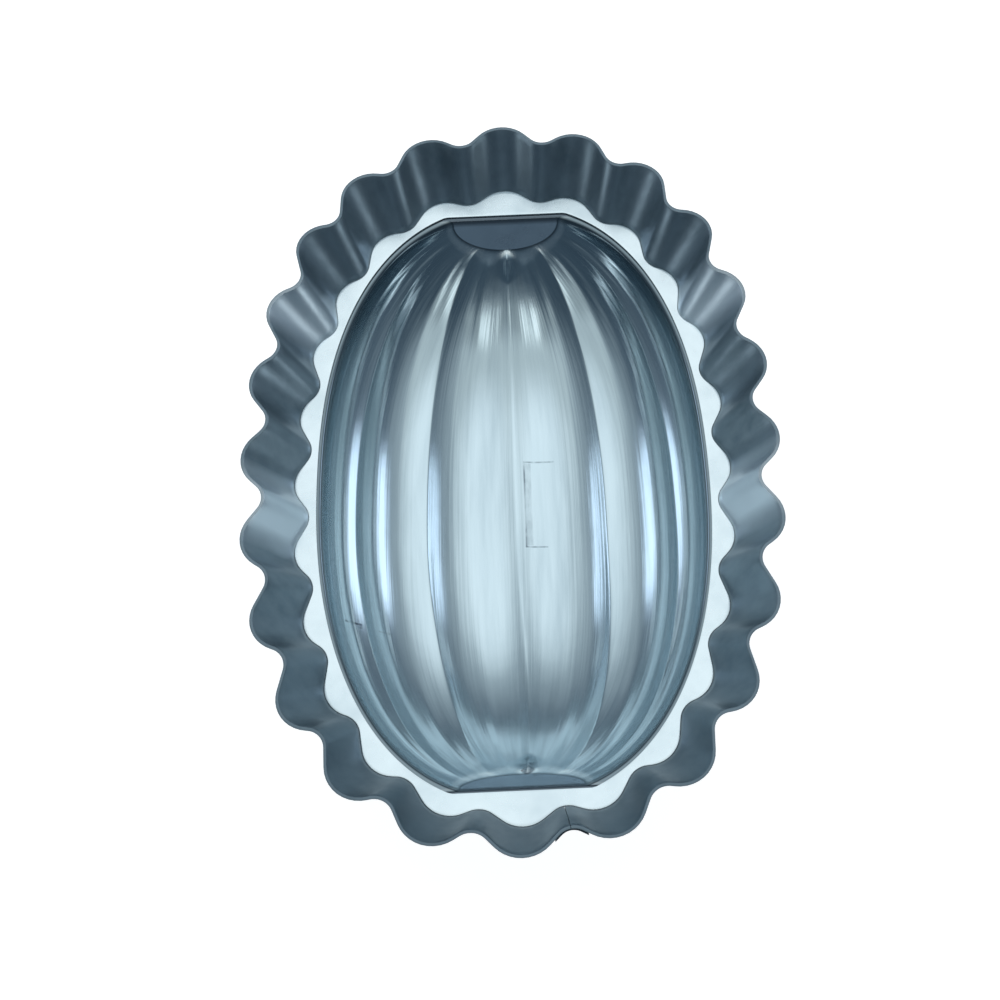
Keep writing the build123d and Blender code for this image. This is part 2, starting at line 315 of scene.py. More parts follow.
@dataclass
class FlutedOutline:
    """The closed outline of the flutes at one level: round lobes and notches with straight flanks."""

    sizes: MoldSizes
    half_length: float
    half_width: float
    depth: float
    grow: float
    fold_steps: int = 10
    flank_steps: int = 3
    trace_steps: int = 100

    @property
    def steps_per_corner(self) -> int:
        """Points of the outline for each fold and the flank after it."""
        return self.fold_steps + self.flank_steps

    def oval(self, outset: float, turn: float) -> Point:
        """Point of the rim's oval.

        Args:
            outset: How far the oval lies outside the outline's own.
            turn: Turn from the oval's +Y end, in radians.

        Returns:
            The point's X and Y.
        """
        power = 2 / self.sizes.rim_roundness
        across = copysign(abs(sin(turn)) ** power, sin(turn))
        along = copysign(abs(cos(turn)) ** power, cos(turn))
        return (self.half_width + outset) * across, (self.half_length + outset) * along

    def even_points(self, outset: float, start: float) -> tuple[list[Point], float]:
        """Lay out one point for each flute at even steps round the oval.

        Args:
            outset: How far the oval lies outside the outline's own.
            start: Place of the first point, in flutes past the +Y end.

        Returns:
            The points and the oval's girth.
        """
        count = self.sizes.flute_count
        pieces = self.trace_steps * count
        curve = [self.oval(outset, tau * i / pieces) for i in range(pieces + 1)]
        travelled = [0.0]
        for here, there in zip(curve, curve[1:]):
            travelled.append(travelled[-1] + hypot(there[0] - here[0], there[1] - here[1]))
        points = []
        i = 0
        for step in range(count):
            target = travelled[-1] * (step + start) / count
            while travelled[i + 1] < target:
                i += 1
            share = (target - travelled[i]) / (travelled[i + 1] - travelled[i])
            (x, y), (next_x, next_y) = curve[i], curve[i + 1]
            points.append((x + share * (next_x - x), y + share * (next_y - y)))
        return points, travelled[-1]

    def corners(self) -> tuple[list[Vector], list[float]]:
        """Lay out the zigzag that the folds round off.

        Returns:
            The zigzag's corners and the radius of each fold.
        """
        middle = self.depth / 2
        _, girth = self.even_points(-middle, 0)
        half_pitch = girth / self.sizes.flute_count / 2
        room = (half_pitch**2 + self.depth**2) / (2 * self.depth)
        wished = self.sizes.lobe_radius + self.sizes.notch_radius
        both = min(wished, self.sizes.fold_limit * room)
        slope = asin(both / hypot(half_pitch, both - self.depth)) - atan2(both - self.depth, half_pitch)
        overshoot = 1 / cos(slope) - 1
        lobe = both * self.sizes.lobe_radius / wished + self.grow
        notch = both * self.sizes.notch_radius / wished - self.grow
        lobe_out = self.grow + lobe * overshoot
        notch_out = self.grow - self.depth - notch * overshoot
        lobes, _ = self.even_points(lobe_out, 0)
        notches, _ = self.even_points(notch_out, 0.5)
        corners = [Vector(point) for pair in zip(lobes, notches) for point in pair]
        return corners, [lobe, notch] * self.sizes.flute_count

    def fold(self, before: Vector, corner: Vector, after: Vector, radius: float) -> list[Vector]:
        """Round off one corner.

        Args:
            before: The corner before it.
            corner: The corner.
            after: The corner after it.
            radius: Radius of the fold.

        Returns:
            Points from one flank to the next.
        """
        back = (before - corner).normalized()
        ahead = (after - corner).normalized()
        half_angle = back.angle(ahead) / 2
        away = radius / sin(half_angle)
        centre = corner + (back + ahead).normalized() * away
        first = corner + back * (away * cos(half_angle)) - centre
        last = corner + ahead * (away * cos(half_angle)) - centre
        sweep = copysign(first.angle(last), first.x * last.y - first.y * last.x)
        points = []
        for i in range(self.fold_steps + 1):
            turn = sweep * i / self.fold_steps
            x = first.x * cos(turn) - first.y * sin(turn)
            y = first.x * sin(turn) + first.y * cos(turn)
            points.append(centre + Vector((x, y)))
        return points

    def fitted_radii(self, corners: list[Vector], radii: list[float]) -> list[float]:
        """Make folds smaller where two neighbours have no room for both, as on the tightest curves.

        Args:
            corners: Corners of the zigzag.
            radii: Wished radius of each fold.

        Returns:
            Radius of each fold.
        """
        count = len(corners)
        lengths = []
        reaches = []
        for i in range(count):
            back = corners[i - 1] - corners[i]
            ahead = corners[(i + 1) % count] - corners[i]
            lengths.append(ahead.length)
            reaches.append(radii[i] / tan(back.angle(ahead) / 2))
        limit = self.sizes.fold_limit
        room = [lengths[i] / (reaches[i] + reaches[(i + 1) % count]) for i in range(count)]
        return [radii[i] * min(1, limit * room[i - 1], limit * room[i]) for i in range(count)]

    def points(self) -> list[Vector]:
        """Fold the zigzag.

        Returns:
            All points of the outline in order, from the lobe at the +Y end.
        """
        corners, radii = self.corners()
        radii = self.fitted_radii(corners, radii)
        before, after = corners[-1:] + corners[:-1], corners[1:] + corners[:1]
        folds = [self.fold(*places) for places in zip(before, corners, after, radii)]
        outline = []
        for here, ahead in zip(folds, folds[1:] + folds[:1]):
            outline.extend(here)
            outline.extend(here[-1].lerp(ahead[0], i / self.flank_steps) for i in range(1, self.flank_steps))
        return outline


def foot_outline(sizes: MoldSizes, grow: float) -> FlutedOutline:
    """The outline of the wall's foot, moved outward by grow."""
    return FlutedOutline(sizes, sizes.foot_half_length, sizes.foot_half_width, sizes.ledge_flute_depth, grow)


class Effect(Enum):
    """Surface effects that more than one finish uses, each made once as a node group."""

    GRAIN = "rolled_grain"
    HAZE = "handling_haze"
    DENTS = "hand_dents"


@dataclass(frozen=True)
class Bench:
    """Adds shader nodes and links them in a node tree."""

    tree: NodeTree

    def add(self, kind: str, values: dict[str, object] | None = None, **settings: object) -> Node:
        """Add a node.

        Args:
            kind: The node's type.
            values: Values or incoming sockets for its inputs, by name.
            settings: Properties of the node.

        Returns:
            The new node.
        """
        node = self.tree.nodes.new(kind)
        for setting, value in settings.items():
            setattr(node, setting, value)
        for name, value in (values or {}).items():
            socket = node.inputs[int(name)] if name.isdigit() else node.inputs[name]
            if isinstance(value, NodeSocket):
                self.tree.links.new(value, socket)
            else:
                socket.default_value = value
        return node

    def parts(self, place: NodeSocket) -> tuple[NodeSocket, NodeSocket, NodeSocket]:
        """The X, Y and Z of a place or direction."""
        return tuple(self.add("ShaderNodeSeparateXYZ", {"Vector": place}).outputs)

    def facing(self) -> NodeSocket:
        """How far the surface looks up, from -1 to 1."""
        return self.parts(self.add("ShaderNodeNewGeometry").outputs["Normal"])[2]

    def noise(self, place: NodeSocket, scale: float, detail: float) -> NodeSocket:
        """Noise at a place, as a value around one half."""
        values = {"Vector": place, "Scale": scale, "Detail": detail}
        return self.add("ShaderNodeTexNoise", values).outputs["Fac"]

    def stretch(self, place: NodeSocket, scale: Place) -> NodeSocket:
        """Scale a place by different amounts along X, Y and Z."""
        return self.add("ShaderNodeMapping", {"Vector": place, "Scale": scale}).outputs["Vector"]

    def math(self, operation: str, first: object, second: object = 0.0) -> NodeSocket:
        """Combine two values."""
        return self.add("ShaderNodeMath", {"0": first, "1": second}, operation=operation).outputs["Value"]

    def product(self, *factors: object) -> NodeSocket:
        """Multiply two values or more.

        Args:
            factors: The values or sockets.

        Returns:
            Their product.
        """
        result = factors[0]
        for factor in factors[1:]:
            result = self.math("MULTIPLY", result, factor)
        return result

    def ramp(
        self, value: NodeSocket, low: float, high: float, to_low: float = 0.0, to_high: float = 1.0
    ) -> NodeSocket:
        """Map a value from one range to another and hold it there."""
        values = {"Value": value, "From Min": low, "From Max": high, "To Min": to_low, "To Max": to_high}
        return self.add("ShaderNodeMapRange", values).outputs["Result"]

    def band(self, value: NodeSocket, low: float, high: float, soft: float) -> NodeSocket:
        """Mask of where a length lies between two limits, all in millimetres.

        Args:
            value: The length.
            low: The lower limit.
            high: The upper limit.
            soft: Half the width of the mask's edges.

        Returns:
            A value from 0 outside the limits to 1 between them.
        """
        above = self.ramp(value, mm(low - soft), mm(low + soft))
        below = self.ramp(value, mm(high - soft), mm(high + soft), to_low=1.0, to_high=0.0)
        return self.product(above, below)

    def blend(self, share: NodeSocket, first: object, second: object) -> NodeSocket:
        """Blend two colours, each given as a socket or as red, green and blue.

        Args:
            share: The second colour's share.
            first: The first colour.
            second: The second colour.

        Returns:
            The blended colour.
        """
        node = self.add("ShaderNodeMix", data_type="RGBA")
        self.tree.links.new(share, node.inputs["Factor"])
        for name, colour in (("A", first), ("B", second)):
            socket = next(one for one in node.inputs if one.name == name and one.type == "RGBA")
            if isinstance(colour, NodeSocket):
                self.tree.links.new(colour, socket)
            else:
                socket.default_value = (*colour, 1)
        return next(one for one in node.outputs if one.type == "RGBA")


@dataclass(frozen=True)
class Mark:
    """A thin mark in a finish: its ranges along X and Y in millimetres, and its strength."""

    across: Point
    along: Point
    strength: float
    soft: float = 0.12

    def mask(self, bench: Bench, x: NodeSocket, y: NodeSocket) -> NodeSocket:
        """Mask of where the mark lies."""
        return bench.product(bench.band(x, *self.across, self.soft), bench.band(y, *self.along, self.soft))


def effect_group(effect: Effect) -> ShaderNodeTree:
    """Find an effect's node group, or make it the first time.

    Args:
        effect: The surface effect.

    Returns:
        A group with a Vector input and a Value output between 0 and 1.
    """
    if effect.value in bpy.data.node_groups:
        return bpy.data.node_groups[effect.value]
    group = bpy.data.node_groups.new(effect.value, "ShaderNodeTree")
    group.interface.new_socket("Vector", in_out="INPUT", socket_type="NodeSocketVector")
    group.interface.new_socket("Value", in_out="OUTPUT", socket_type="NodeSocketFloat")
    bench = Bench(group)
    place = bench.add("NodeGroupInput").outputs["Vector"]
    if effect is Effect.GRAIN:
        fine = bench.noise(place, scale=1.0, detail=3.0)
        broad = bench.noise(place, scale=0.3, detail=2.0)
        value = bench.ramp(bench.math("ADD", fine, broad), low=0.7, high=1.3)
    elif effect is Effect.HAZE:
        clouds = bench.ramp(bench.noise(place, scale=1.0, detail=4.0), low=0.35, high=0.7)
        wisps = bench.ramp(bench.noise(place, scale=4.0, detail=3.0), low=0.3, high=0.7, to_low=0.6)
        value = bench.product(clouds, wisps)
    else:
        wide = bench.noise(place, scale=60.0, detail=1.0)
        small = bench.noise(place, scale=170.0, detail=1.0)
        value = bench.math("ADD", bench.product(wide, WIDE_WEIGHT), bench.product(small, 1 - WIDE_WEIGHT))
    bench.add("NodeGroupOutput", {"Value": value})
    return group


@dataclass(frozen=True)
class SheetFinish:
    """Bright sheet metal: satin, faintly grained, hazed by handling and a little uneven."""

    name: str
    bright: Colour
    dull: Colour
    roughness: tuple[float, float]
    grain_scale: Place
    haze_scale: Place
    grain_height: float = 0.004
    dent_height: float = 0.4

    def effect(self, bench: Bench, effect: Effect, place: NodeSocket) -> NodeSocket:
        """Place an effect's group and give its value."""
        group = effect_group(effect)
        return bench.add("ShaderNodeGroup", {"Vector": place}, node_tree=group).outputs["Value"]

    def drawn_place(self, bench: Bench, place: NodeSocket) -> NodeSocket:
        """Place that the grain and the haze follow."""
        return place

    def marks(self, bench: Bench, place: NodeSocket, colour: NodeSocket) -> NodeSocket:
        """Add marks that only some finishes have, over the plain colour."""
        return colour

    def material(self) -> Material:
        """Make the finish's material, or find it if it is made.

        Returns:
            The material.
        """
        if self.name in bpy.data.materials:
            return bpy.data.materials[self.name]
        material = bpy.data.materials.new(self.name)
        material.use_nodes = True
        bench = Bench(material.node_tree)
        shader = material.node_tree.nodes["Principled BSDF"]
        place = bench.add("ShaderNodeTexCoord").outputs["Object"]
        drawn = self.drawn_place(bench, place)
        grain = self.effect(bench, Effect.GRAIN, bench.stretch(drawn, self.grain_scale))
        haze = self.effect(bench, Effect.HAZE, bench.stretch(drawn, self.haze_scale))
        dents = self.effect(bench, Effect.DENTS, place)
        colour = self.marks(bench, place, bench.blend(haze, self.bright, self.dull))
        hazed, rolled = bench.product(haze, HAZE_WEIGHT), bench.product(grain, 1 - HAZE_WEIGHT)
        worn = bench.math("ADD", hazed, rolled)
        values = {"Height": dents, "Distance": mm(self.dent_height), "Strength": DENT_STRENGTH}
        dented = bench.add("ShaderNodeBump", values).outputs["Normal"]
        values = {"Height": grain, "Distance": mm(self.grain_height), "Strength": GRAIN_STRENGTH}
        grained = bench.add("ShaderNodeBump", values | {"Normal": dented}).outputs["Normal"]
        links = bench.tree.links
        links.new(colour, shader.inputs["Base Color"])
        links.new(bench.ramp(worn, 0, 1, *self.roughness), shader.inputs["Roughness"])
        links.new(grained, shader.inputs["Normal"])
        shader.inputs["Metallic"].default_value = 1.0
        return material

    def dress(self, piece: Object) -> None:
        """Give every slot of a piece this finish.

        Args:
            piece: The piece.
        """
        material = self.material()
        if not piece.material_slots:
            piece.data.materials.append(material)
        for slot in piece.material_slots:
            slot.material = material


class WallFinish(SheetFinish):
    """The wall's metal: a painted highlight on two flutes on each side, painted shade toward the front, dull
    on its cut edge.
    """

    # Colours of the painted highlight on two bands of flutes and of the painted shade toward the front.
    painted_highlight: ClassVar[Colour] = (0.88, 0.95, 1.0)
    highlight_bands: ClassVar[tuple[Point, ...]] = ((-18, -2), (38, 49))
    front_shade: ClassVar[Colour] = (0.13, 0.175, 0.21)
    cut_edge: ClassVar[Colour] = (0.12, 0.16, 0.19)

    def marks(self, bench: Bench, place: NodeSocket, colour: NodeSocket) -> NodeSocket:
        """Add the painted highlights on two bands of flutes and the painted shade toward the front, then
        darken the faces that look up.

        Args:
            bench: The bench of the material's tree.
            place: The place on the piece, in Object coordinates.
            colour: The finish's plain colour.

        Returns:
            The colour with the marks over it.
        """
        _, y, _ = bench.parts(place)
        # Painted highlight: lighten two bands of flutes along the mold.
        for low, high in self.highlight_bands:
            colour = bench.blend(bench.band(y, low, high, soft=3), colour, self.painted_highlight)
        # Painted shade: the wall darkens toward the front.
        front_shading = bench.ramp(y, low=mm(-85), high=mm(-15), to_low=0.75, to_high=0.0)
        colour = bench.blend(front_shading, colour, self.front_shade)
        cut = bench.ramp(bench.facing(), low=0.8, high=0.95, to_high=0.75)
        return bench.blend(cut, colour, self.cut_edge)


class LedgeFinish(SheetFinish):
    """The ledge plate's metal, dull at its cut edges."""

    cut_edge: ClassVar[Colour] = (0.12, 0.15, 0.17)

    def marks(self, bench: Bench, place: NodeSocket, colour: NodeSocket) -> NodeSocket:
        """Darken the faces that don't look up or down.

        Args:
            bench: The bench of the material's tree.
            place: The place on the piece, in Object coordinates; not used here.
            colour: The finish's plain colour.

        Returns:
            The colour with the marks over it.
        """
        level = bench.math("ABSOLUTE", bench.facing())
        cut = bench.ramp(level, low=0.6, high=0.95, to_low=0.55, to_high=0.0)
        return bench.blend(cut, colour, self.cut_edge)


class BowlFinish(SheetFinish):
    """The bowl's metal: painted shade under the ledge, a painted shadow line and a painted highlight line by
    the end plates, with residue and scratches.
    """

    # Colours of the painted shadow line by the end plates, the painted highlight line beside it, and the
    # painted shade on the shoulder.
    joint_shadow: ClassVar[Colour] = (0.12, 0.16, 0.19)
    edge_highlight: ClassVar[Colour] = (0.8, 0.86, 0.88)
    shoulder: ClassVar[Colour] = (0.1, 0.13, 0.15)
    dirt: ClassVar[Colour] = (0.1, 0.13, 0.16)
    dirt_scale: ClassVar[Place] = (700, 260, 700)
    residue: ClassVar[tuple[Mark, ...]] = (
        Mark((2.0, 2.4), (-4.6, 19.6), 0.8),
        Mark((2.4, 3.9), (-4.2, 19.0), 0.25),
        Mark((2.0, 9.8), (19.2, 19.6), 0.7),
        Mark((2.0, 7.6), (-4.8, -4.4), 0.7),
    )
    scratches: ClassVar[tuple[Mark, ...]] = (
        Mark((-40.4, -36.9), (-30.5, -30.0), 0.9),
        Mark((-37.3, -36.8), (-31.4, -30.0), 0.7),
        Mark((-33.4, -30.3), (-30.5, -30.2), 0.5),
    )

    def drawn_place(self, bench: Bench, place: NodeSocket) -> NodeSocket:
        """Turn round the melon's long axis as a length, and Y, so that the grain runs from end to end.

        Args:
            bench: The bench of the material's tree.
            place: The place on the piece, in Object coordinates.

        Returns:
            The place that the grain and the haze follow.
        """
        x, y, z = bench.parts(place)
        sizes = MoldSizes()
        turn = bench.math("ARCTAN2", x, bench.math("SUBTRACT", mm(sizes.shoulder_level), z))
        across = bench.product(turn, mm(sizes.opening_half_width))
        return bench.add("ShaderNodeCombineXYZ", {"X": across, "Y": y}).outputs["Vector"]

    def marks(self, bench: Bench, place: NodeSocket, colour: NodeSocket) -> NodeSocket:
        """Add the painted shadow and highlight lines by the end plates, the painted shade on the shoulder,
        and on the inside the residue and the scratches.

        Args:
            bench: The bench of the material's tree.
            place: The place on the piece, in Object coordinates.
            colour: The finish's plain colour.

        Returns:
            The colour with the marks over it.
        """
        x, y, z = bench.parts(place)
        sizes = MoldSizes()
        level = sizes.shoulder_level
        from_end = bench.math("SUBTRACT", mm(sizes.end_top), bench.math("ABSOLUTE", y))
        along = bench.product(from_end, cos(sizes.end_lean))
        rise = bench.product(bench.math("SUBTRACT", z, mm(level)), sin(sizes.end_lean))
        from_plate = bench.math("ADD", along, rise)
        # Painted shadow line along the end plate, then a painted highlight line just inside it.
        colour = bench.blend(bench.band(from_plate, low=-0.6, high=0.1, soft=0.1), colour, self.joint_shadow)
        colour = bench.blend(bench.band(from_plate, low=0.15, high=0.5, soft=0.1), colour, self.edge_highlight)
        # Painted shade on the shoulder under the ledge.
        shaded = bench.ramp(z, low=mm(level - 1.6), high=mm(level - 0.5), to_high=0.8)
        colour = bench.blend(shaded, colour, self.shoulder)
        inside = bench.ramp(bench.facing(), low=0.1, high=0.3)
        patches = bench.noise(bench.stretch(place, self.dirt_scale), scale=1.0, detail=3.0)
        broken = bench.product(bench.ramp(patches, low=0.35, high=0.65, to_low=0.2), inside)
        for mark in self.residue + self.scratches:
            share = bench.product(mark.mask(bench, x, y), broken, mark.strength)
            colour = bench.blend(share, colour, self.dirt)
        return colour


class EndFinish(SheetFinish):
    """The end plates' metal, toned darker than the bowl's as painted shade, with more painted shade where it
    bends out under the ledge.
    """

    # Colour of the painted shade on the bend.
    bend: ClassVar[Colour] = (0.08, 0.1, 0.12)

    def marks(self, bench: Bench, place: NodeSocket, colour: NodeSocket) -> NodeSocket:
        """Paint shade on the bend under the ledge.

        Args:
            bench: The bench of the material's tree.
            place: The place on the piece, in Object coordinates.
            colour: The finish's plain colour.

        Returns:
            The colour with the marks over it.
        """
        _, _, z = bench.parts(place)
        level = MoldSizes().shoulder_level
        # Painted shade where the plate bends out under the ledge.
        shaded = bench.ramp(z, low=mm(level - 1.5), high=mm(level - 0.7), to_high=0.85)
        return bench.blend(shaded, colour, self.bend)


WALL_FINISH = WallFinish(
    "wall_finish", bright=(0.36, 0.43, 0.48), dull=(0.22, 0.28, 0.32), roughness=(0.34, 0.48),
    grain_scale=(700, 700, 30), haze_scale=(90, 90, 35), grain_height=0.02,
)
LEDGE_FINISH = LedgeFinish(
    "ledge_finish", bright=(0.72, 0.79, 0.82), dull=(0.62, 0.7, 0.74), roughness=(0.22, 0.34),
    grain_scale=(500, 500, 500), haze_scale=(60, 60, 60),
)
BOWL_FINISH = BowlFinish(
    "bowl_finish", bright=(0.59, 0.69, 0.74), dull=(0.44, 0.53, 0.58), roughness=(0.12, 0.22),
    grain_scale=(900, 14, 900), haze_scale=(90, 12, 90), grain_height=0.04, dent_height=0.25,
)
# The end plates' tone is set darker than the bowl's as painted shade.
END_FINISH = EndFinish(
    "end_finish", bright=(0.44, 0.51, 0.58), dull=(0.38, 0.45, 0.52), roughness=(0.2, 0.32),
    grain_scale=(40, 500, 500), haze_scale=(40, 60, 60),
)
SOLDER_FINISH = SheetFinish(
    "solder_finish", bright=(0.6, 0.62, 0.63), dull=(0.45, 0.46, 0.47), roughness=(0.3, 0.5),
    grain_scale=(400, 400, 400), haze_scale=(150, 150, 150), dent_height=0.8,
)


@dataclass
class FlutedWall:
    """The flared wall: one strip pressed into flutes, its ends meeting at the seam."""

    sizes: MoldSizes
    flare_rows: int = 10
    seam_slit: float = 0.15
    edge_round: float = 0.14
    smooth_angle: float = 50

    def cross_section(self) -> list[Point]:
        """The wall's closed cross-section, up its outer skin, over the rounded rim and down its inner skin.

        Returns:
            Pairs of how far the skin lies outside the outer one, measured level, and height.
        """
        sizes = self.sizes
        top = sizes.rim_level
        rise = top - sizes.ledge_level
        low = sizes.ledge_level - sizes.skirt_drop
        edge = self.edge_round
        corner = edge / 4
        heights = [low, low + sizes.skirt_drop / 2]
        heights.extend(sizes.ledge_level + rise * i / self.flare_rows for i in range(self.flare_rows))
        outside = [(0.0, height) for height in heights]
        inside = [(-sizes.wall_skin, height) for height in reversed(heights)]
        rim = [(0.0, top - edge), (-corner, top - corner), (-edge, top)]
        rim_inside = [(-sizes.wall_skin - grow, height) for grow, height in reversed(rim)]
        return outside + rim + rim_inside + inside + outside[:1]

    def strip_row(self, grow: float, height: float) -> list[Place]:
        """Points of the strip at one level.

        Args:
            grow: How far the skin lies outside the outer one.
            height: Height of the level.

        Returns:
            Points from one side of the seam round to the other.
        """
        sizes = self.sizes
        foot = foot_outline(sizes, grow)
        rim = FlutedOutline(sizes, sizes.rim_half_length, sizes.rim_half_width, sizes.rim_flute_depth, grow)
        seam = (2 * sizes.seam_notch + 1) * foot.steps_per_corner + foot.fold_steps // 2
        share = max(0.0, (height - sizes.ledge_level) / (sizes.rim_level - sizes.ledge_level))
        ring = [low.lerp(high, share) for low, high in zip(foot.points(), rim.points())]
        row = [Vector((point.x, point.y, height)) for point in ring[seam:] + ring[: seam + 1]]
        for end, neighbour in ((0, 1), (-1, -2)):
            row[end] = row[end] + (row[neighbour] - row[end]).normalized() * self.seam_slit / 2
        return [tuple(point) for point in row]

    def build(self) -> Object:
        """Make the strip, closed over its whole cross-section.

        Returns:
            The wall.
        """
        rows = [self.strip_row(grow, height) for grow, height in self.cross_section()]
        columns = len(rows[0]) - 1

        def form(across: float, along: float) -> Place:
            """Place of a point of the strip: round the mold, then along the cross-section."""
            return rows[round(along * (len(rows) - 1))][round(across * columns)]

        wall = Shop.sheet("wall_strip", columns, len(rows) - 1, form)
        Shop.weld(wall)
        Shop.close_ends(wall)
        Shop.face_outward(wall)
        Shop.smooth_faces(wall, self.smooth_angle)
        return wall

    def dress(self, wall: Object) -> None:
        """Finish the wall and put it in the CAD wall's place.

        Args:
            wall: The wall.
        """
        WALL_FINISH.dress(wall)
        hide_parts("fluted_wall")
        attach(wall, "root")


@dataclass
class LedgePlate:
    """The flat scalloped ring between the wall's foot and the melon's opening."""

    sizes: MoldSizes
    rows: int = 8
    edge_round: float = 0.12
    least_distance: float = 0.01
    smooth_angle: float = 35

    def build(self) -> Object:
        """Make the plate from its top face down.

        Returns:
            The plate.
        """
        sizes = self.sizes
        roundness = sizes.opening_roundness
        outline = foot_outline(sizes, -sizes.wall_skin - sizes.fit_gap).points()
        outline.append(outline[0])
        columns = len(outline) - 1

        def form(across: float, along: float) -> Place:
            """Place a point of the ring.

            Args:
                across: Share of the way round the mold.
                along: Share of the way inward to the opening.

            Returns:
                The point's place in millimetres.
            """
            outer = outline[round(across * columns)]
            over = (abs(outer.x) / sizes.opening_half_width) ** roundness
            over += (abs(outer.y) / sizes.opening_half_length) ** roundness
            scale = min(over ** (-1 / roundness), sizes.opening_end / max(abs(outer.y), self.least_distance))
            x, y = outer.lerp(outer * scale, along)
            return x, y, sizes.ledge_level

        plate = Shop.sheet("ledge_ring", columns, self.rows, form)
        Shop.weld(plate)
        Shop.face_up(plate)
        Shop.thicken(plate, sizes.sheet)
        Shop.round_edges(plate, self.edge_round)
        Shop.smooth_faces(plate, self.smooth_angle)
        return plate

    def dress(self, plate: Object) -> None:
        """Finish the plate and put it in the CAD plate's place.

        Args:
            plate: The plate.
        """
        LEDGE_FINISH.dress(plate)
        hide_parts("ledge_plate")
        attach(plate, "root")


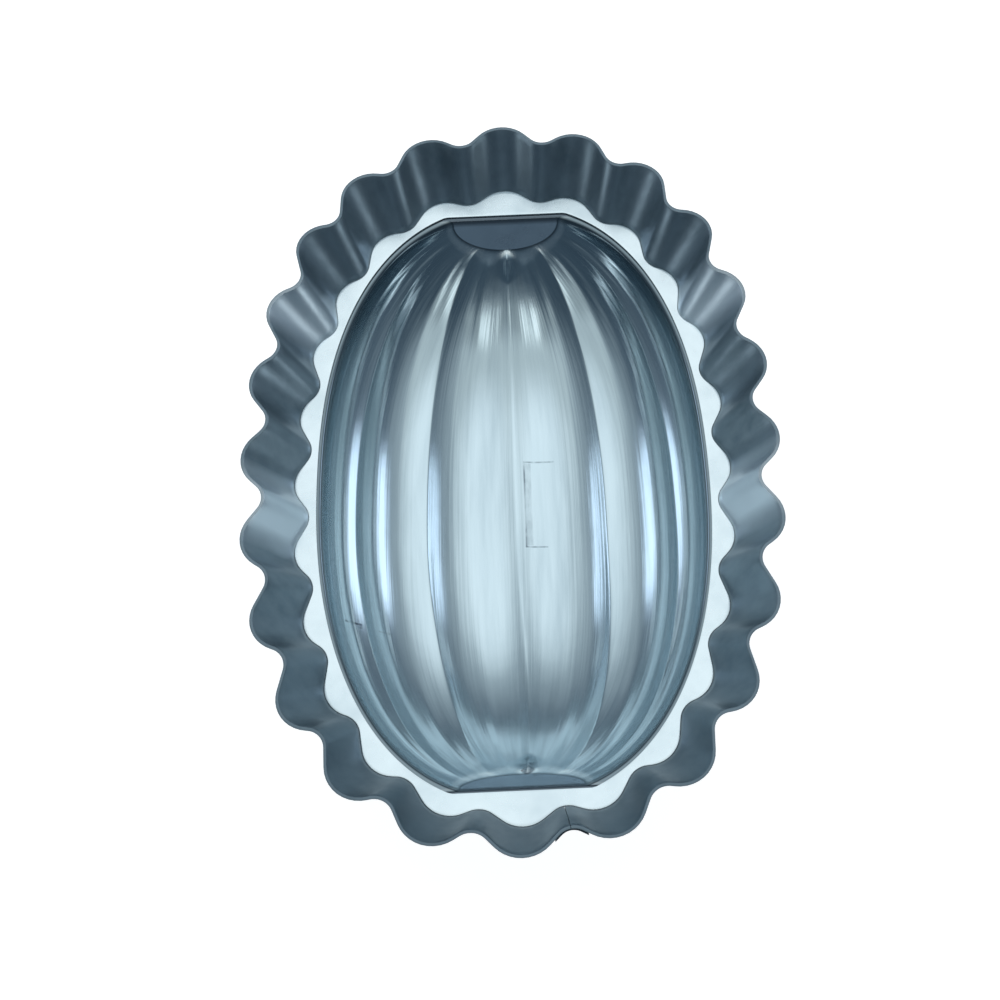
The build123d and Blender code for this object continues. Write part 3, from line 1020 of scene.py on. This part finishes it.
@dataclass
class MelonBowl:
    """The melon form: six lobes between rounded ridges, a round shoulder and a narrow flange."""

    sizes: MoldSizes
    rows: int = 180
    lobe_steps: int = 28
    shoulder_steps: int = 6
    ridge_round: float = 0.03
    shelf_length: float = 3.0
    shelf_catch_up: float = 4.0
    shelf_sharpness: float = 1.6
    shelf_loss: float = 0.65
    lobe_end_length: float = 3.5
    front_stray: float = 7.0
    puckers: int = 3
    pucker_depth: float = 0.09
    pucker_start: float = 0.5
    pucker_full: float = 0.9
    pucker_least: float = 0.3
    pucker_shift: float = 1.9
    cross_wave: float = 0.5
    cross_rate: float = 1.7
    smooth_angle: float = 50

    def section(self, share: float, shelf: float = 0.0) -> tuple[float, float, float]:
        """Lean, slant depth and half width of the cross-section at a share of the half length.

        Args:
            share: Place of the cross-section along the half length, from -1 to 1.
            shelf: How much of the flat shelf at the end it has, 1 on a ridge and 0 in a lobe's middle.

        Returns:
            The lean in radians, then the slant depth and the half width in millimetres.
        """
        sizes = self.sizes
        end = sizes.end_depth - sizes.sheet
        middle = sizes.ridge_depth - sizes.sheet
        from_end = sizes.end_top * (1 - abs(share))
        held_up = 1 - smooth((from_end - self.shelf_length * shelf) / self.shelf_catch_up)
        swell = (1 - abs(share) ** sizes.belly_fullness) * (1 - shelf * held_up)
        depth = end + (middle - end) * swell
        lean = atan2(share * end * sizes.end_inset / sizes.end_depth, depth)
        return lean, depth / cos(lean), sizes.half_width_at(sizes.end_top * share, -sizes.shoulder_radius)

    def ridge_turn(self, index: float, share: float) -> float:
        """Turn of a ridge; toward the front the left ridges stray to the right.

        Args:
            index: Number of the ridge from the left, where 0 and the last are the brinks.
            share: Place along the half length.

        Returns:
            The turn from straight down to the right, in radians.
        """
        sizes = self.sizes
        half = sizes.lobe_count / 2
        if index <= 0 or index >= sizes.lobe_count:
            return copysign(pi / 2, index - half)
        stray = radians(self.front_stray) * (1 - index / sizes.lobe_count) * smooth(-share)
        return (index - half) * pi / sizes.lobe_count + stray

    def pucker(self, lobe: int, step: float, share: float) -> float:
        """Height of the puckers that pressing leaves along a lobe, deeper toward the ends.

        Args:
            lobe: Number of the lobe, from the left.
            step: Share of the way across the lobe.
            share: Place along the half length.

        Returns:
            Height outward in millimetres.
        """
        gathering = smooth((abs(share) - self.pucker_start) / (self.pucker_full - self.pucker_start))
        gathered = self.pucker_least + (1 - self.pucker_least) * gathering
        waves = tau * self.puckers * step
        wave = sin(waves + self.pucker_shift * lobe) + self.cross_wave * sin(self.cross_rate * waves - lobe)
        return self.pucker_depth * gathered * wave

    def lobe_point(self, lobe: int, step: float, share: float) -> Point:
        """Point of a lobe's inside in the cross-section's own plane.

        Args:
            lobe: Number of the lobe, from the left.
            step: Share of the way across the lobe.
            share: Place along the half length.

        Returns:
            Distance across and height above the shoulder's level.
        """
        sizes = self.sizes
        side = 2 * step - 1
        from_ridge = hypot(1 - abs(side), self.ridge_round) - self.ridge_round
        hollow = from_ridge * (2 - from_ridge)
        ridge = lobe if side < 0 else lobe + 1
        shelf = max(0.0, 1 - self.shelf_loss * abs(ridge - sizes.lobe_count / 2))
        shelf *= max(0.0, 1 - from_ridge) ** self.shelf_sharpness
        _, slant, half_width = self.section(share, shelf)
        depth = slant - sizes.shoulder_radius
        first = self.ridge_turn(lobe, share)
        last = self.ridge_turn(lobe + 1, share)
        turn = first + (last - first) * step
        across = sin(turn) / half_width
        down = cos(turn) / depth
        size = hypot(across, down)
        chord = hypot(half_width * (sin(last) - sin(first)), depth * (cos(last) - cos(first)))
        bulge = sizes.lobe_bulge * chord * hollow + self.pucker(lobe, step, share) * hollow
        bulge *= smooth(sizes.end_top * (1 - abs(share)) / self.lobe_end_length)
        x = half_width * sin(turn) + bulge * across / size
        return x, -sizes.shoulder_radius - depth * cos(turn) - bulge * down / size

    def profile(self, share: float) -> list[Point]:
        """The whole cross-section from the left edge of the flange to the right edge.

        Args:
            share: Place along the half length.

        Returns:
            Pairs of distance across and height above the shoulder's level.
        """
        sizes = self.sizes
        _, _, half_width = self.section(share)
        radius = sizes.shoulder_radius
        brink = half_width + radius
        edge = max(brink + sizes.flange_lap, sizes.half_width_at(sizes.end_top * share, sizes.flange_lap))
        left = [(-edge, 0.0)]
        for i in range(self.shoulder_steps):
            turn = pi / 2 * (1 - i / self.shoulder_steps)
            left.append((radius * cos(turn) - brink, radius * sin(turn) - radius))
        lobes = []
        for lobe in range(sizes.lobe_count):
            for i in range(self.lobe_steps):
                lobes.append(self.lobe_point(lobe, (1 - cos(pi * i / self.lobe_steps)) / 2, share))
        right = [(-x, y) for x, y in reversed(left)]
        last = self.lobe_point(sizes.lobe_count - 1, 1.0, share)
        return left + lobes + [last] + right

    def build(self) -> Object:
        """Make the bowl from its inside outward.

        Returns:
            The bowl.
        """
        sizes = self.sizes
        shares = [sin(pi * i / self.rows - pi / 2) for i in range(self.rows + 1)]
        profiles = [self.profile(share) for share in shares]
        columns = len(profiles[0]) - 1

        def form(across: float, along: float) -> Place:
            """Place a point of the bowl.

            Args:
                across: Share of the way across the cross-section.
                along: Share of the way from front to back.

            Returns:
                The point's place in millimetres.
            """
            row = round(along * self.rows)
            x, height = profiles[row][round(across * columns)]
            lean, _, _ = self.section(shares[row])
            y = sizes.end_top * shares[row] + height * sin(lean)
            return x, y, sizes.shoulder_level + height * cos(lean)

        bowl = Shop.sheet("melon_pressing", columns, self.rows, form)
        Shop.face_up(bowl)
        Shop.thicken(bowl, sizes.sheet)
        Shop.smooth_faces(bowl, self.smooth_angle)
        return bowl

    def dress(self, bowl: Object) -> None:
        """Finish the bowl and put it in the CAD bowl's place.

        Args:
            bowl: The bowl.
        """
        BOWL_FINISH.dress(bowl)
        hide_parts("melon_bowl")
        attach(bowl, "root")


class End(Enum):
    """The two ends of the mold, with their direction along Y."""

    BACK = 1
    FRONT = -1


@dataclass
class EndPlate:
    """A leaning half moon that closes the bowl, with a lip bent out under the ledge."""

    sizes: MoldSizes
    end: End
    columns: int = 40
    face_rows: int = 24
    bend_rows: int = 6
    lip_overlap: float = 0.2
    tip_share: float = 0.0002
    edge_round: float = 0.08
    smooth_angle: float = 40

    def path(self) -> list[tuple[float, float, float]]:
        """The plate's middle line, from the lip down.

        Returns:
            Distance along Y, height, and half width of the plate there.
        """
        sizes = self.sizes
        radius = sizes.shoulder_radius
        lean = sizes.end_lean
        half_width = sizes.half_width_at(sizes.end_top, -radius) + sizes.end_margin
        slant = (sizes.end_depth - sizes.sheet) / cos(lean)
        reach = slant - radius + sizes.end_margin
        tangent = sizes.bend_share * radius
        level = sizes.shoulder_level
        lip_half_width = sizes.half_width_at(sizes.end_top, sizes.flange_lap)
        line = [(sizes.end_top + sizes.end_lip, level, lip_half_width)]
        sweep = pi / 2 - lean
        for i in range(self.bend_rows + 1):
            turn = sweep * i / self.bend_rows
            y = sizes.end_top + tangent - radius * sin(turn)
            on_lip = y > sizes.end_top - self.lip_overlap
            line.append((y, level - radius * (1 - cos(turn)), lip_half_width if on_lip else half_width))
        for i in range(1, self.face_rows + 1):
            down = tangent + (radius + reach - tangent) * sin(pi / 2 * i / self.face_rows)
            width = half_width * sqrt(max(self.tip_share, 1 - (max(0.0, down - radius) / reach) ** 2))
            line.append((sizes.end_top - down * sin(lean), level - down * cos(lean), width))
        return line

    def build(self) -> Object:
        """Make the plate from its inner face outward.

        Returns:
            The plate.
        """
        line = self.path()
        rows = len(line) - 1

        def form(across: float, along: float) -> Place:
            """Place of a point of the plate: across it, then from the lip down to the arc."""
            y, z, half_width = line[round(along * rows)]
            return half_width * (2 * across - 1), y * self.end.value, z

        plate = Shop.sheet(f"half_moon_{self.end.name.lower()}", self.columns, rows, form)
        Shop.face_up(plate)
        Shop.thicken(plate, self.sizes.sheet)
        Shop.round_edges(plate, self.edge_round)
        Shop.smooth_faces(plate, self.smooth_angle)
        return plate

    def dress(self, plate: Object) -> None:
        """Finish the plate and put it in the CAD plate's place.

        Args:
            plate: The plate.
        """
        END_FINISH.dress(plate)
        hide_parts(f"end_plate_{self.end.name.lower()}")
        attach(plate, "root")


def dress_fitted_parts() -> None:
    """Finish the CAD pieces that stay as they are: the seam strap and the solder runs."""
    WALL_FINISH.dress(bpy.data.objects["seam_strap"])
    runs = ("wall_solder", "bowl_solder_left", "bowl_solder_right", "end_solder_back", "end_solder_front")
    for run in runs:
        SOLDER_FINISH.dress(bpy.data.objects[run])


@dataclass(frozen=True)
class Glow:
    """A soft patch of light in the room, round a direction and fading at its rim, in degrees."""

    lean: float
    heading: float
    inner: float
    outer: float
    colour: Colour

    def mask(self, bench: Bench, direction: NodeSocket) -> NodeSocket:
        """How much of the patch is seen in a direction.

        Args:
            bench: The bench of the world's tree.
            direction: The direction looked in.

        Returns:
            A value from 0 outside the patch to 1 inside it.
        """
        lean, heading = radians(self.lean), radians(self.heading)
        axis = (sin(lean) * sin(heading), sin(lean) * cos(heading), cos(lean))
        values = {"0": direction, "1": axis}
        toward = bench.add("ShaderNodeVectorMath", values, operation="DOT_PRODUCT").outputs["Value"]
        limits = {"Value": toward, "From Min": cos(radians(self.outer)), "From Max": cos(radians(self.inner))}
        return bench.add("ShaderNodeMapRange", limits, interpolation_type="SMOOTHSTEP").outputs["Result"]


@dataclass(frozen=True)
class Studio:
    """The pale floor, the soft overhead light, the surroundings and the camera."""

    floor_size: float = 8.0
    floor_grey: Colour = (0.5, 0.5, 0.5)
    floor_seen: Colour = (0.85, 0.85, 0.85)
    panel_distance: float = 1.2
    panel_lean: float = 24.0
    panel_size: Point = (1.0, 0.9)
    panel_watts: float = 1.35
    panel_colour: Colour = (0.95, 0.99, 1.0)
    focal_length: float = 59.73
    sensor_width: float = 36.0
    nearest: float = 0.01
    camera_place: Place = (8.96, -187.39, 331.68)
    camera_tilt: float = 29.642
    camera_roll: float = -2.347
    camera_yaw: float = 0.905
    frame_shift: Point = (-0.06, -0.06)
    room_behind: Colour = (0.055, 0.085, 0.115)
    room_ahead: Colour = (0.13, 0.175, 0.22)
    horizon: Colour = (0.85, 0.87, 0.88)
    glows: tuple[Glow, ...] = (
        Glow(18, 0, 30, 64, (0.48, 0.56, 0.6)),
        Glow(5, 0, 27, 40, (0.66, 0.74, 0.76)),
        Glow(24, 0, 9, 37, (1.1, 1.2, 1.24)),
        Glow(27, 180, 5, 9, (1.4, 1.5, 1.5)),
        Glow(31, 152, 5, 9, (0.4, 0.46, 0.48)),
        Glow(31, -152, 5, 9, (0.4, 0.46, 0.48)),
        Glow(66, 180, 8, 14, (0.17, 0.23, 0.28)),
        Glow(66, 58, 4, 11, (1.5, 1.75, 2.05)),
        Glow(66, -58, 4, 11, (1.5, 1.75, 2.05)),
        Glow(81, 112, 5, 13, (1.3, 1.5, 1.6)),
        Glow(81, -112, 5, 13, (1.3, 1.5, 1.6)),
    )

    def floor(self) -> None:
        """Lay the floor; the camera and reflections see it white, and it keeps the shadow."""
        Shop.put_down()
        bpy.ops.mesh.primitive_plane_add(size=self.floor_size)
        floor = bpy.context.object
        floor.name = "floor"
        material = bpy.data.materials.new("pale_floor")
        material.use_nodes = True
        bench = Bench(material.node_tree)
        shader = material.node_tree.nodes["Principled BSDF"]
        shader.inputs["Base Color"].default_value = (*self.floor_grey, 1)
        shader.inputs["Roughness"].default_value = 1.0
        shader.inputs["Specular IOR Level"].default_value = 0.0
        shader.inputs["Emission Strength"].default_value = 1.0
        path = bench.add("ShaderNodeLightPath")
        seen = bench.math("MAXIMUM", path.outputs["Is Camera Ray"], path.outputs["Is Glossy Ray"])
        seen = bench.math("MAXIMUM", seen, path.outputs["Is Transmission Ray"])
        white = bench.blend(seen, (0, 0, 0), self.floor_seen)
        bench.tree.links.new(white, shader.inputs["Emission Color"])
        floor.data.materials.append(material)

    def surroundings(self) -> None:
        """Set the room: dark behind the viewer, grey ahead, pale at the far horizon, and the glows."""
        world = bpy.data.worlds.new("room")
        bpy.context.scene.world = world
        world.use_nodes = True
        bench = Bench(world.node_tree)
        direction = bench.add("ShaderNodeTexCoord").outputs["Generated"]
        _, y, z = bench.parts(direction)
        colour = bench.blend(bench.ramp(y, low=-0.45, high=0.2), self.room_behind, self.room_ahead)
        level = bench.ramp(z, low=0.015, high=0.05, to_low=1.0, to_high=0.0)
        far = bench.product(level, bench.ramp(y, low=0.0, high=0.4))
        colour = bench.blend(far, colour, self.horizon)
        for glow in self.glows:
            colour = bench.blend(glow.mask(bench, direction), colour, glow.colour)
        background = world.node_tree.nodes["Background"]
        world.node_tree.links.new(colour, background.inputs["Color"])

    def panel(self) -> None:
        """Hang the large soft light over the mold; reflections see the glows in its place."""
        Shop.put_down()
        lean = radians(self.panel_lean)
        place = (0, self.panel_distance * sin(lean), self.panel_distance * cos(lean))
        bpy.ops.object.light_add(type="AREA", location=place, rotation=(-lean, 0, 0))
        lamp = bpy.context.object
        lamp.name = "soft_panel"
        lamp.data.shape = "RECTANGLE"
        lamp.data.size, lamp.data.size_y = self.panel_size
        lamp.data.energy = self.panel_watts
        lamp.data.color = self.panel_colour
        lamp.visible_glossy = False

    def camera(self, sizes: MoldSizes) -> None:
        """Set the camera at the photograph's place and angle.

        Args:
            sizes: The mold's sizes; the camera's height is counted from the rim.
        """
        data = bpy.data.cameras.new("view")
        camera = bpy.data.objects.new("view", data)
        bpy.context.collection.objects.link(camera)
        data.lens = self.focal_length
        data.sensor_width = self.sensor_width
        data.clip_start = self.nearest
        data.shift_x, data.shift_y = self.frame_shift
        turn = Matrix.Rotation(radians(self.camera_roll), 4, "Z")
        turn = turn @ Matrix.Rotation(radians(self.camera_yaw), 4, "Y")
        turn = turn @ Matrix.Rotation(radians(self.camera_tilt), 4, "X")
        place = (Vector(self.camera_place) + Vector((0, 0, sizes.rim_level))) * MM
        camera.matrix_world = Matrix.Translation(place) @ turn
        bpy.context.scene.camera = camera

    def set_up(self, sizes: MoldSizes) -> None:
        """Put the whole studio in place.

        Args:
            sizes: The mold's sizes.
        """
        self.floor()
        self.surroundings()
        self.panel()
        self.camera(sizes)
        bpy.context.scene.view_settings.view_transform = "Standard"


def main() -> None:
    """Build the mold's pieces in order, dress them and set up the studio."""
    logging.basicConfig(level=logging.INFO, format="%(name)s: %(message)s")
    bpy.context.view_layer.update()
    sizes = MoldSizes()
    ends = [EndPlate(sizes, end) for end in End]
    for builder in (FlutedWall(sizes), LedgePlate(sizes), MelonBowl(sizes), *ends):
        piece = builder.build()
        builder.dress(piece)
        log.info("%s: %d faces", piece.name, len(piece.data.polygons))
    dress_fitted_parts()
    Studio().set_up(sizes)


if __name__ == "__main__":
    main()
